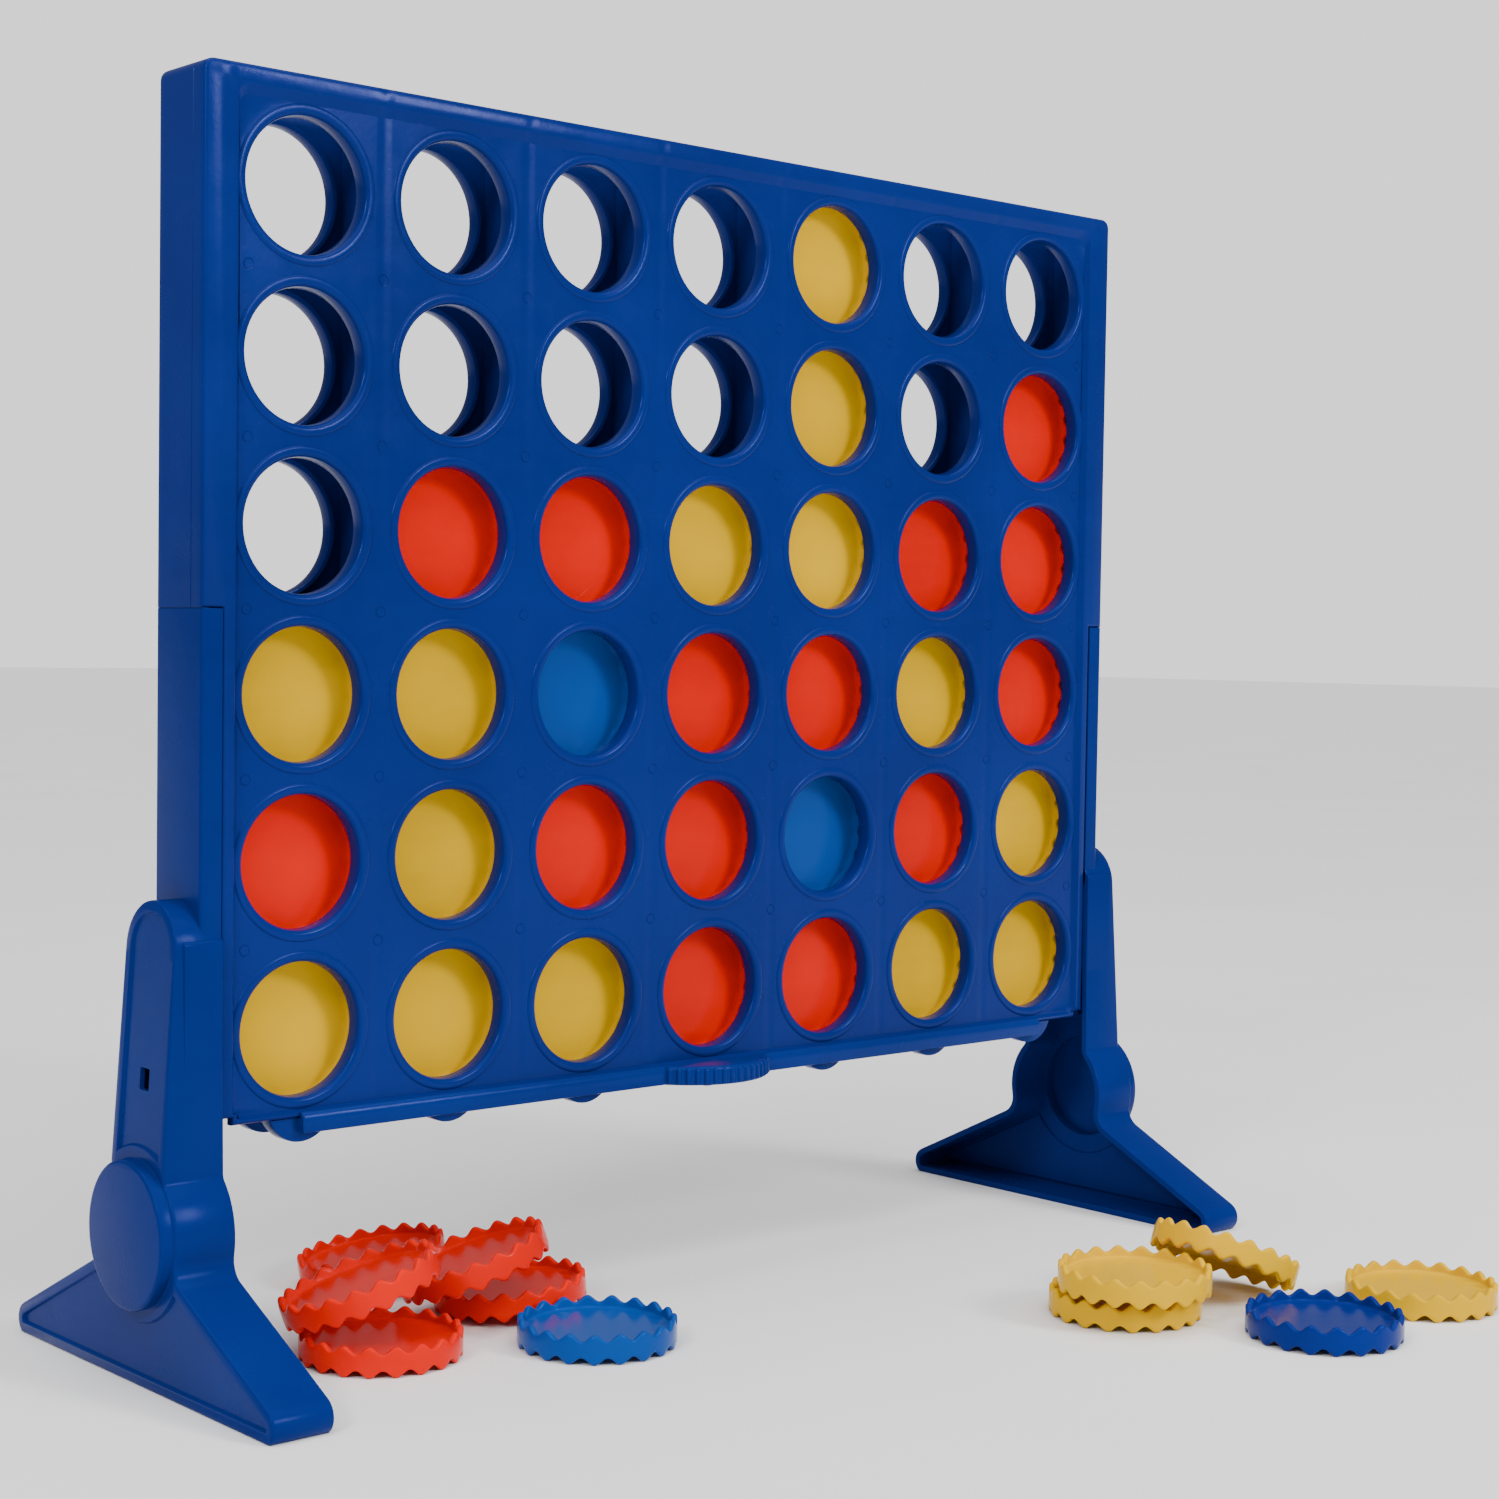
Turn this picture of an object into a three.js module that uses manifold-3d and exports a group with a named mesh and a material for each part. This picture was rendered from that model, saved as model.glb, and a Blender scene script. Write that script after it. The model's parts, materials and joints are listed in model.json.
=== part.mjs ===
// Giant four in a row: an upright board of seven columns on two feet, a release slider under it,
// the discs standing in the board and the loose discs lying on the ground around it.
// Millimetres. X runs along the board, Y from the players' front to the back, Z up from the ground.
import * as THREE from "three";
import { mergeVertices } from "three/addons/utils/BufferGeometryUtils.js";
import Module from "manifold-3d";

const wasm = await Module();
wasm.setup();

// ---- driving dimensions ----
const COLUMNS = 7;
const ROWS = 6;
const GAP = 0.3; // between pieces that touch in use

// discs
const DISC_R = 37;
const DISC_T = 14; // over the crests of the waved rim
const DISC_RIM = 3; // rim wall
const DISC_WEB = 2.5; // thin web half way through the disc
const DISC_SIDES = 12;

// column grid
const RIB_T = 4; // divider between two columns
const SIDE_PLAY = 1; // disc to divider, each side
const COLUMN_PITCH = 2 * DISC_R + RIB_T + 2 * SIDE_PLAY;
const ROW_PITCH = 2 * DISC_R + GAP;
const PANEL_BOTTOM = 111.6;
const DISC_SEAT = 1.8; // bottom disc stands this far above the panels' lower edge
const BOTTOM_ROW = PANEL_BOTTOM + DISC_SEAT + DISC_R;

// panels
const PLATE_OUTER = 18; // recessed outer face, from the middle plane
const PLATE_T = 3;
const BORDER_RAISE = 2;
const BORDER_SIDE = 17;
const BORDER_TOP = 11;
const BORDER_BOTTOM = 3.4;
const LIP_COVER = 7; // a window's edge covers this much of the disc's edge
const HOLE_SIDES = 16;
const RING_WALL = 2.5;
const RING_SIDES = 8;
const DISC_PLAY = 2.25; // disc face to ring, each side
const TOP_OVER_DISC = 10.7; // panels' top edge above the highest disc
const PANEL_CORNER = 5;
const WALL_T = 8; // end wall, above the shoulder

// feet
const FOOT_T = 29;
const FOOT_HALF = 113;
const FOOT_TIP_R = 8;
const FOOT_TIP_Z = 6.7; // centre of the rounded tip
const SLOPE_DEG = 26;
const SHELL = 3.5;
const HUB_R = 34;
const HUB_Z = 66;
const HUB_DISC_R = 33;
const HUB_PROUD = 6;
const HUB_DEPTH = 26; // hollow behind the hub disc, from the inner plane of the foot
const ARM_OVER_POST = 1.6; // arm's top wider than the post, each side
const ARM_SPREAD = 1.9; // arm wider at the hub than at its top, each side
const ARM_HOLD = 98.4; // arm's top above the panels' lower edge
const ARM_THIN = 7; // the arm's outer face leans in by this much at its top
const FACE_RECESS = 1.5;
const FACE_RIM = 5;
const FACE_RING_R = 38;
const POST_T = 10;
const POST_WALL = 3;
const LATCH_HALF = 4; // latch window in the arm
const LATCH_RISE = 16.4; // above the panels' lower edge
const LATCH_TALL = 9.6;

// release slider
const RAIL_DROP = 6.6; // rail below the panels' lower edge
const RAIL_COVER = 2.8; // rail above the panels' lower edge
const RAIL_T = 3.2;
const RAIL_CHAMFER = 2.2;
const STOP_PLAY = 0.5; // rail end to foot at the end of travel
const TAB_PLAY = 1.5; // tab wider than the disc, each side
const TAB_GAP = 0.4; // disc to tab
const BOSS_R = 17;
const BOSS_DROP = 11.6; // boss below the panels' lower edge
const BOSS_PLAY = 2.6; // disc face to boss, each side
const GRIP_HALF = 34;
const GRIP_REACH = 18;
const GRIP_WALL = 3;

// ---- sizes that follow ----
const columnX = (i) => (i - (COLUMNS - 1) / 2) * COLUMN_PITCH;
const rowZ = (row) => BOTTOM_ROW + (ROWS - row) * ROW_PITCH; // row 1 is the highest
const HALF_GRID = (COLUMNS * COLUMN_PITCH) / 2;
const WALL_INNER = HALF_GRID + RIB_T;
const BOARD_HALF = WALL_INNER + WALL_T;
const HOLE_R = DISC_R - LIP_COVER;
const BOARD_TOP = rowZ(1) + DISC_R + TOP_OVER_DISC;
const PANEL_OUTER = PLATE_OUTER + BORDER_RAISE;
const PLATE_INNER = PLATE_OUTER - PLATE_T;
const POST_HALF = PANEL_OUTER;
const RING_END = DISC_T / 2 + DISC_PLAY;
const SHOULDER_Z = BOTTOM_ROW + 2.5 * ROW_PITCH + 0.05;
const LEG_INNER = BOARD_HALF - POST_T;
const LEG_OUTER = LEG_INNER + FOOT_T;
const ARM_TOP = PANEL_BOTTOM + ARM_HOLD;
const ARM_HALF_TOP = POST_HALF + ARM_OVER_POST;
const ARM_HALF_LOW = ARM_HALF_TOP + ARM_SPREAD;
const LATCH_LOW = PANEL_BOTTOM + LATCH_RISE;
const WING_X = LEG_INNER + POST_T - POST_WALL - 2 * GAP;
const WING_Y = POST_HALF - POST_WALL - GAP;
const CORE_HALF = PLATE_INNER - GAP; // end walls and dividers, across the board
const RAIL_LOW = PANEL_BOTTOM - RAIL_DROP;
const RAIL_HIGH = PANEL_BOTTOM + RAIL_COVER;
const RAIL_OUTER = PANEL_OUTER + GAP + RAIL_T;
const RAIL_HALF = columnX(COLUMNS - 1) + RIB_T / 2;
const TRAVEL = LEG_INNER - RAIL_HALF - STOP_PLAY;
const TAB_HALF = DISC_T / 2 + TAB_PLAY;
const BOSS_LOW = PANEL_BOTTOM - BOSS_DROP;
const BOSS_INNER = DISC_T / 2 + BOSS_PLAY;
const BOSS_OUTER = ARM_HALF_TOP - SHELL; // clears the inside of the foot's arm

// ---- colours ----
const FRAME_BLUE = 0x1e3e96;
const FOOT_BLUE = 0x1b3a8c;
const SLIDER_BLUE = 0x2147a4;
const DISC_COLOURS = { red: 0xdc3214, yellow: 0xfacd00, blue: 0x0a55a5 };

// Colours in the board, highest row first; a dot is an empty place.
const BOARD_ROWS = ["....y..", "....y.r", ".rryyrr", "yybrryr", "ryrrbry", "yyyrryy"];
const LETTERS = { r: "red", y: "yellow", b: "blue" };

// Loose discs: x and y of the centre in disc radii from the board's own middle, how many degrees
// one edge is raised, and the heading of that edge in degrees from +X. A disc with `on` has its
// lowest edge that far above the ground, because it rests on others.
const PILE_X = 3.08;
const LEANING_X = 4.96;
const PILE_LEAN = leanAngle(2 * DISC_T + 2 * GAP, (LEANING_X - PILE_X - 1) * DISC_R);
const LOOSE = [
  { name: "red_a", colour: "red", x: -5.51, y: -0.78 },
  { name: "red_b", colour: "red", x: -5.66, y: -0.52, lift: 19.4, heading: -35, on: DISC_T - 0.04 * DISC_R },
  { name: "red_c", colour: "red", x: -3.58, y: 2.37, lift: 9.6, heading: -35 },
  { name: "red_d", colour: "red", x: -3.64, y: -0.05, lift: 19.4, heading: -35, on: DISC_T - 0.12 * DISC_R },
  { name: "red_e", colour: "red", x: -2.97, y: 0.04, lift: 5, heading: -35 },
  { name: "blue_a", colour: "blue", x: -3.11, y: -1.99 },
  { name: "yellow_a", colour: "yellow", x: 3.23, y: -5.18 },
  { name: "yellow_b", colour: "yellow", x: PILE_X, y: -5.46, on: DISC_T + GAP },
  { name: "yellow_c", colour: "yellow", x: LEANING_X, y: -5.46, lift: PILE_LEAN, heading: 180, on: GAP },
  { name: "yellow_d", colour: "yellow", x: 6.78, y: -7.35 },
  { name: "blue_b", colour: "blue", x: 4.4, y: -7.5 },
];

// Tilt, in degrees, of a disc that has its lowest edge on the ground and whose underside rests on
// an edge `height` above the ground, `reach` from the disc's middle.
function leanAngle(height, reach) {
  let low = 0;
  let high = Math.PI / 3;
  for (let i = 0; i < 40; i++) {
    const tilt = (low + high) / 2;
    const climb = (DISC_R - (DISC_T / 2) * Math.tan(tilt)) * Math.sin(tilt) + reach * Math.tan(tilt);
    if (climb < height) low = tilt;
    else high = tilt;
  }
  return THREE.MathUtils.radToDeg(low);
}

// ---- solids ----
function solid(geometry) {
  const g = geometry.index ? geometry.toNonIndexed() : geometry;
  g.deleteAttribute("normal");
  g.deleteAttribute("uv");
  const merged = mergeVertices(g, 1e-4);
  return new wasm.Manifold(
    new wasm.Mesh({
      numProp: 3,
      vertProperties: merged.attributes.position.array,
      triVerts: new Uint32Array(merged.index.array),
    }),
  );
}

function box(x0, x1, y0, y1, z0, z1) {
  const g = new THREE.BoxGeometry(x1 - x0, y1 - y0, z1 - z0);
  g.translate((x0 + x1) / 2, (y0 + y1) / 2, (z0 + z1) / 2);
  return solid(g);
}

function extrude(points, depth) {
  const shape = new THREE.Shape(points.map(([a, b]) => new THREE.Vector2(a, b)));
  return new THREE.ExtrudeGeometry(shape, { depth, bevelEnabled: false, steps: 1 });
}

// An outline in X and Z, carried from y0 to y1.
function prismY(points, y0, y1) {
  const g = extrude(points, y1 - y0);
  g.rotateX(Math.PI / 2);
  g.translate(0, y1, 0);
  return solid(g);
}

// An outline in Y and Z, carried from x0 to x1.
function prismX(points, x0, x1) {
  const g = extrude(points, x1 - x0);
  g.rotateX(Math.PI / 2);
  g.rotateZ(Math.PI / 2);
  g.translate(x0, 0, 0);
  return solid(g);
}

// An outline in X and Y, carried from z0 to z1.
function prismZ(points, z0, z1) {
  const g = extrude(points, z1 - z0);
  g.translate(0, 0, z0);
  return solid(g);
}

function cylinderY(x, z, radius, y0, y1, sides) {
  const g = new THREE.CylinderGeometry(radius, radius, y1 - y0, sides);
  g.translate(0, (y0 + y1) / 2, 0);
  const turned = solid(g).rotate([0, 90, 0]);
  return turned.translate([x, 0, z]);
}

function cylinderX(y, z, radius, x0, x1, sides) {
  const g = new THREE.CylinderGeometry(radius, radius, x1 - x0, sides);
  g.rotateZ(Math.PI / 2);
  g.translate((x0 + x1) / 2, y, z);
  return solid(g);
}

function unite(parts) {
  return wasm.Manifold.union(parts);
}

// Points on an arc, both ends included.
function arc(cx, cy, radius, from, to, steps) {
  const points = [];
  for (let i = 0; i <= steps; i++) {
    const a = THREE.MathUtils.degToRad(from + ((to - from) * i) / steps);
    points.push([cx + radius * Math.cos(a), cy + radius * Math.sin(a)]);
  }
  return points;
}

// ---- front and rear panel ----
function panelOutline() {
  const r = PANEL_CORNER;
  return [
    [-BOARD_HALF, PANEL_BOTTOM],
    [BOARD_HALF, PANEL_BOTTOM],
    ...arc(BOARD_HALF - r, BOARD_TOP - r, r, 0, 90, 3),
    ...arc(-BOARD_HALF + r, BOARD_TOP - r, r, 90, 180, 3),
  ];
}

function ring(x, z) {
  const corner = (HOLE_R + 0.6 * RING_WALL) / Math.cos(Math.PI / RING_SIDES);
  return cylinderY(x, z, corner, RING_END, PLATE_INNER + 1, RING_SIDES);
}

function everyHole(make) {
  const made = [];
  for (let i = 0; i < COLUMNS; i++) {
    for (let row = 1; row <= ROWS; row++) made.push(make(columnX(i), rowZ(row)));
  }
  return made;
}

// The rear panel; the front one is its mirror image.
function panel() {
  const recess = box(
    -BOARD_HALF + BORDER_SIDE,
    BOARD_HALF - BORDER_SIDE,
    PLATE_OUTER,
    PANEL_OUTER + 1,
    PANEL_BOTTOM + BORDER_BOTTOM,
    BOARD_TOP - BORDER_TOP,
  );
  const plate = prismY(panelOutline(), PLATE_INNER, PANEL_OUTER).subtract(recess);
  const rings = unite(everyHole(ring));
  const holes = unite(
    everyHole((x, z) => cylinderY(x, z, HOLE_R, RING_END - 1, PANEL_OUTER + 1, HOLE_SIDES)),
  );
  return plate.add(rings).subtract(holes).subtract(unite([-1, 1].flatMap(shoulderCut)));
}

// Below the shoulder the panel is cut back so that it drops into the foot's channel.
function shoulderCut(side) {
  const top = SHOULDER_Z + GAP;
  const far = BOARD_HALF + 5;
  const spans = [
    [LEG_INNER - GAP, far, WING_Y, PANEL_OUTER + 5],
    [WING_X, far, 0, PANEL_OUTER + 5],
  ];
  return spans.map(([near, end, y0, y1]) =>
    box(Math.min(side * near, side * end), Math.max(side * near, side * end), y0, y1, 0, top),
  );
}

// ---- end walls and dividers between the panels ----
function endWall() {
  const r = PANEL_CORNER;
  const points = [
    [WALL_INNER, PANEL_BOTTOM + GAP],
    [WING_X, PANEL_BOTTOM + GAP],
    [WING_X, SHOULDER_Z + GAP],
    [BOARD_HALF, SHOULDER_Z + GAP],
    ...arc(BOARD_HALF - r, BOARD_TOP - r, r, 0, 90, 3),
    [WALL_INNER, BOARD_TOP],
  ];
  return prismY(points, -CORE_HALF, CORE_HALF);
}

function divider(i) {
  const x = (columnX(i) + columnX(i + 1)) / 2;
  const low = PANEL_BOTTOM + DISC_SEAT + GAP;
  return box(x - RIB_T / 2, x + RIB_T / 2, -CORE_HALF, CORE_HALF, low, BOARD_TOP - BORDER_TOP / 2);
}

// ---- foot with its arm and post ----
// Half outline in Y and Z, drawn a distance inside the real surface.
function footHalf(inside) {
  const slope = Math.tan(THREE.MathUtils.degToRad(SLOPE_DEG));
  const tipY = FOOT_HALF - FOOT_TIP_R;
  const tipR = FOOT_TIP_R - inside;
  const low = Math.asin((inside - FOOT_TIP_Z) / tipR);
  const tip = arc(tipY, FOOT_TIP_Z, tipR, THREE.MathUtils.radToDeg(low), 90 - SLOPE_DEG, 4);
  const [startY, startZ] = tip[tip.length - 1];
  const hubR = HUB_R - inside;
  // where the sloping top meets the hub circle: y^2 + (z - hub)^2 = r^2 on z = rise - slope * y
  const rise = startZ + slope * startY - HUB_Z;
  const a = 1 + slope * slope;
  const b = -2 * slope * rise;
  const c = rise * rise - hubR * hubR;
  const meetY = (-b + Math.sqrt(b * b - 4 * a * c)) / (2 * a);
  const armLow = ARM_HALF_LOW - inside;
  const from = THREE.MathUtils.radToDeg(Math.atan2(rise - slope * meetY, meetY));
  const to = THREE.MathUtils.radToDeg(Math.acos(armLow / hubR));
  const archR = ARM_HALF_TOP - inside;
  return [
    ...tip,
    ...arc(0, HUB_Z, hubR, from, to, 5),
    ...arc(0, ARM_TOP - ARM_HALF_TOP, archR, 0, 90, 5),
  ];
}

function footOutline(inside) {
  const half = footHalf(inside);
  const other = half.slice(0, -1).map(([y, z]) => [-y, z]);
  return [...half, ...other.reverse()];
}

function foot() {
  const far = LEG_OUTER + HUB_PROUD;
  const lean = LEG_OUTER - ARM_THIN;
  let made = prismX(footOutline(0), LEG_INNER, LEG_OUTER);
  const shaving = [
    [LEG_OUTER, HUB_Z + HUB_R],
    [far, HUB_Z + HUB_R],
    [far, ARM_TOP + 5],
    [lean, ARM_TOP + 5],
    [lean, ARM_TOP],
  ];
  made = made.subtract(prismY(shaving, -FOOT_HALF, FOOT_HALF));
  made = made.subtract(facePanels());
  made = made.add(cylinderX(0, HUB_Z, HUB_DISC_R, LEG_OUTER - 1, far, 20));
  made = made.subtract(pocket());
  const post = box(LEG_INNER, BOARD_HALF, -POST_HALF, POST_HALF, ARM_TOP - 24, SHOULDER_Z);
  made = made.add(post);
  const channelHalf = POST_HALF - POST_WALL;
  const channelDepth = BOARD_HALF - POST_WALL;
  made = made.subtract(
    box(LEG_INNER - 1, channelDepth, -channelHalf, channelHalf, PANEL_BOTTOM, SHOULDER_Z + 1),
  );
  const window = box(LEG_OUTER - 15, far, -LATCH_HALF, LATCH_HALF, LATCH_LOW, LATCH_LOW + LATCH_TALL);
  return made.subtract(window);
}

// The hollow behind the foot's outer face, open towards the board.
function pocket() {
  const inner = footOutline(SHELL);
  const armDepth = LEG_OUTER - ARM_THIN - SHELL;
  const footDepth = LEG_OUTER - SHELL - FACE_RECESS;
  const shallow = prismX(inner, LEG_INNER - 1, armDepth);
  const low = box(0, footDepth, -FOOT_HALF, FOOT_HALF, 0, HUB_Z + HUB_R - 5);
  const deep = prismX(inner, LEG_INNER - 1, footDepth).intersect(low);
  const hub = cylinderX(0, HUB_Z, HUB_DISC_R - SHELL, LEG_INNER - 1, LEG_INNER + HUB_DEPTH, 16);
  const behindHub = hub.intersect(box(0, LEG_OUTER + HUB_PROUD, -99, 99, HUB_Z - 30, HUB_Z + 24));
  return shallow.add(deep).add(behindHub);
}

// The shallow recess in the outer face of the two toes, stopping at a ring round the hub.
function facePanels() {
  const field = prismX(footOutline(FACE_RIM), LEG_OUTER - FACE_RECESS, LEG_OUTER + 1);
  const round = cylinderX(0, HUB_Z, FACE_RING_R, LEG_OUTER - 5, LEG_OUTER + 5, 20);
  const above = box(0, LEG_OUTER + 9, -99, 99, HUB_Z, ARM_TOP + 9);
  return field.subtract(round).subtract(above);
}

// ---- release slider ----
function rail() {
  const inner = PANEL_OUTER + GAP;
  const points = [
    [inner, RAIL_LOW],
    [RAIL_OUTER, RAIL_LOW],
    [RAIL_OUTER, RAIL_HIGH - RAIL_CHAMFER],
    [RAIL_OUTER - RAIL_CHAMFER, RAIL_HIGH],
    [inner, RAIL_HIGH],
  ];
  const lip = box(-RAIL_HALF, RAIL_HALF, BOSS_OUTER - 1, inner + 1, RAIL_LOW, PANEL_BOTTOM - GAP);
  return prismX(points, -RAIL_HALF, RAIL_HALF).add(lip);
}

function boss(x) {
  const top = PANEL_BOTTOM - GAP;
  const centre = BOSS_LOW + BOSS_R;
  const half = THREE.MathUtils.radToDeg(Math.acos((centre - top) / BOSS_R));
  const points = arc(x, centre, BOSS_R, 270 - half, 270 + half, 7);
  return prismY(points, BOSS_INNER, BOSS_OUTER);
}

function gateBar(x) {
  const reach = PANEL_OUTER + GAP + 1;
  const high = PANEL_BOTTOM + DISC_SEAT - TAB_GAP;
  const bar = box(x - RIB_T / 2, x + RIB_T / 2, -reach, reach, RAIL_LOW, PANEL_BOTTOM - GAP);
  return bar.add(box(x - RIB_T / 2, x + RIB_T / 2, -TAB_HALF, TAB_HALF, RAIL_LOW, high));
}

// Half-round finger grip on the front rail, hollow from below.
function grip() {
  const radius = (GRIP_HALF ** 2 + GRIP_REACH ** 2) / (2 * GRIP_REACH);
  const centreY = -RAIL_OUTER - GRIP_REACH + radius;
  const half = THREE.MathUtils.radToDeg(Math.asin(GRIP_HALF / radius));
  const outer = arc(0, centreY, radius, 270 - half, 270 + half, 12);
  const hollow = arc(0, centreY, radius - GRIP_WALL, 274 - half, 266 + half, 8);
  const body = prismZ(outer, RAIL_LOW, RAIL_HIGH);
  const behind = box(-GRIP_HALF, GRIP_HALF, -RAIL_OUTER - 1, 0, RAIL_LOW - 2, RAIL_HIGH + 2);
  const hole = prismZ(hollow, RAIL_LOW - 1, RAIL_HIGH - GRIP_WALL).subtract(behind);
  return body.subtract(hole);
}

function slider() {
  const rear = [rail()];
  const bars = [];
  for (let i = 0; i < COLUMNS; i++) {
    rear.push(boss(columnX(i)));
    bars.push(gateBar(columnX(i)));
  }
  const side = unite(rear);
  const root = box(-GRIP_HALF, GRIP_HALF, -RAIL_OUTER, -RAIL_OUTER + 1, RAIL_LOW, RAIL_HIGH - RAIL_CHAMFER);
  return unite([side, side.mirror([0, 1, 0]), ...bars, grip(), root]);
}

// ---- discs ----
// A rim with a thin web half way, turned about Z.
function discGeometry() {
  const rim = DISC_T / 2;
  const web = DISC_WEB / 2;
  const inner = DISC_R - DISC_RIM;
  const profile = [
    [0, -web],
    [inner, -web],
    [inner, -rim],
    [DISC_R, -rim],
    [DISC_R, rim],
    [inner, rim],
    [inner, web],
    [0, web],
  ].map(([r, h]) => new THREE.Vector2(r, h));
  const g = new THREE.LatheGeometry(profile, DISC_SIDES);
  g.rotateX(Math.PI / 2);
  return g;
}

// Centre height of a loose disc whose lowest edge stands `on` above the ground.
function looseHeight(disc) {
  const tilt = THREE.MathUtils.degToRad(disc.lift ?? 0);
  return (disc.on ?? 0) + DISC_R * Math.sin(tilt) + (DISC_T / 2) * Math.cos(tilt);
}

// ---- assembly ----
const board = new THREE.Group();
board.name = "giant_four_in_a_row";

function addGeometry(name, geometry, colour) {
  const material = new THREE.MeshStandardMaterial({ color: colour, roughness: 0.35, metalness: 0 });
  material.name = name;
  const mesh = new THREE.Mesh(geometry, material);
  mesh.name = name;
  board.add(mesh);
}

function addSolid(name, made, colour) {
  const mesh = made.getMesh();
  const geometry = new THREE.BufferGeometry();
  geometry.setAttribute("position", new THREE.BufferAttribute(mesh.vertProperties, 3));
  geometry.setIndex(new THREE.BufferAttribute(mesh.triVerts, 1));
  geometry.computeVertexNormals();
  addGeometry(name, geometry, colour);
}

function addStructure() {
  const rear = panel();
  addSolid("rear_panel", rear, FRAME_BLUE);
  addSolid("front_panel", rear.mirror([0, 1, 0]), FRAME_BLUE);
  const wall = endWall();
  addSolid("right_end_wall", wall, FRAME_BLUE);
  addSolid("left_end_wall", wall.mirror([1, 0, 0]), FRAME_BLUE);
  for (let i = 0; i < COLUMNS - 1; i++) addSolid(`column_divider_${i + 1}`, divider(i), FRAME_BLUE);
  const right = foot();
  addSolid("right_foot", right, FOOT_BLUE);
  addSolid("left_foot", right.mirror([1, 0, 0]), FOOT_BLUE);
  addSolid("release_slider", slider(), SLIDER_BLUE);
}

function addBoardDiscs() {
  BOARD_ROWS.forEach((letters, k) => {
    [...letters].forEach((letter, i) => {
      if (letter === ".") return;
      const colour = LETTERS[letter];
      const g = discGeometry();
      g.rotateX(Math.PI / 2);
      g.translate(columnX(i), 0, rowZ(k + 1));
      addGeometry(`disc_column${i + 1}_row${k + 1}_${colour}`, g, DISC_COLOURS[colour]);
    });
  });
}

function addLooseDiscs() {
  for (const disc of LOOSE) {
    const g = discGeometry();
    g.rotateY(-THREE.MathUtils.degToRad(disc.lift ?? 0));
    g.rotateZ(THREE.MathUtils.degToRad(disc.heading ?? 0));
    g.translate(disc.x * DISC_R, disc.y * DISC_R, looseHeight(disc));
    addGeometry(`loose_disc_${disc.name}`, g, DISC_COLOURS[disc.colour]);
  }
}

// The origin is under the middle of everything, loose discs included.
function centreOnOrigin() {
  const extent = new THREE.Box3().setFromObject(board);
  const shift = -(extent.min.y + extent.max.y) / 2;
  for (const mesh of board.children) mesh.position.y = shift;
}

addStructure();
addBoardDiscs();
addLooseDiscs();
centreOnOrigin();

export default board;
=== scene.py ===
# Giant four in a row: looks of the board, its feet, the release slider and the discs.
# Sizes below are millimetres until a piece is finished; every finished mesh is in metres.
import json
import math
import random

import bmesh
import bpy
import numpy as np
from mathutils import Matrix, Vector, geometry

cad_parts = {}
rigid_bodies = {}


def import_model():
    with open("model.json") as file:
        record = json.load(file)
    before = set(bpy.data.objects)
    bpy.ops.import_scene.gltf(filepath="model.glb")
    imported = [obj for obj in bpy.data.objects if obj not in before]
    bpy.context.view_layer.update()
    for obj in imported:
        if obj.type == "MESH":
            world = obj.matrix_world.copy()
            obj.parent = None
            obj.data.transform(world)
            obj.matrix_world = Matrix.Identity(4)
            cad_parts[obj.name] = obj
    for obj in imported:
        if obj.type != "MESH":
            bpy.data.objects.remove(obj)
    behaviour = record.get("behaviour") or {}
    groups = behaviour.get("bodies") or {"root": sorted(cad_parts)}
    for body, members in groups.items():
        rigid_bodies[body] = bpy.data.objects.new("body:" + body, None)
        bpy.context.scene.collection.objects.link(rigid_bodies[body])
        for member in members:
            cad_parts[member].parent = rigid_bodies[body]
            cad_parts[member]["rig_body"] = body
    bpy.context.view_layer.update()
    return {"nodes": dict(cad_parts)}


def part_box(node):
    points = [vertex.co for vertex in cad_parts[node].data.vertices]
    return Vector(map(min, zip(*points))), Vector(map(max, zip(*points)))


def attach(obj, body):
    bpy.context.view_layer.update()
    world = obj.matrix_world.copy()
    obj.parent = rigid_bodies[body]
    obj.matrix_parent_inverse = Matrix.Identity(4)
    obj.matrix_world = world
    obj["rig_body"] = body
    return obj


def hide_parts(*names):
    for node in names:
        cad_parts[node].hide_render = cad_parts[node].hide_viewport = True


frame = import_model()
nodes = frame["nodes"]
MM = 0.001


def box_mm(name):
    low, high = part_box(name)
    return low / MM, high / MM


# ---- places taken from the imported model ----
front_low, front_high = box_mm("front_panel")
_, rear_high = box_mm("rear_panel")
foot_low, foot_high = box_mm("right_foot")
slider_low, slider_high = box_mm("release_slider")
MID_Y = (front_low.y + rear_high.y) / 2
BOARD_HALF = front_high.x
BOARD_LOW = front_low.z
BOARD_TOP = front_high.z
HALF_DEPTH = rear_high.y - MID_Y
LEG_IN = foot_low.x
LEG_HUB = foot_high.x
SHOULDER = foot_high.z
FOOT_HALF = (foot_high.y - foot_low.y) / 2

# ---- sizes of the mouldings ----
COLUMNS, ROWS = 7, 6
PITCH_X, PITCH_Z = 80.0, 74.3
BOTTOM_ROW = BOARD_LOW + 38.8
PLATE = HALF_DEPTH - 2.8
INNER = HALF_DEPTH - 5.0
RECESS_HALF = BOARD_HALF - 17.0
RECESS_LOW = BOARD_LOW + 3.4
RECESS_TOP = BOARD_TOP - 11.0
RECESS_DROP, RECESS_CORNER, SKIRT_ROUND = 1.8, 5.0, 0.25
LIP_R, HOLE_R, RING_R = 35.2, 30.0, 32.5
BEAD = 0.75
RING_END = HALF_DEPTH - 10.75
PARTING = -10.0
RING_STEPS = 72
SLOPE_TOP, SLOPE_SIDE, SLOPE_LOW = 4.6, 2.4, 1.2
NOTCH_X, NOTCH_Z = BOARD_HALF - 16.5, BOARD_LOW + 3.4
PEG_R, PEG_STEPS = 2.7, 20
PEG_SIDE_X = BOARD_HALF - 23.0

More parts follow.
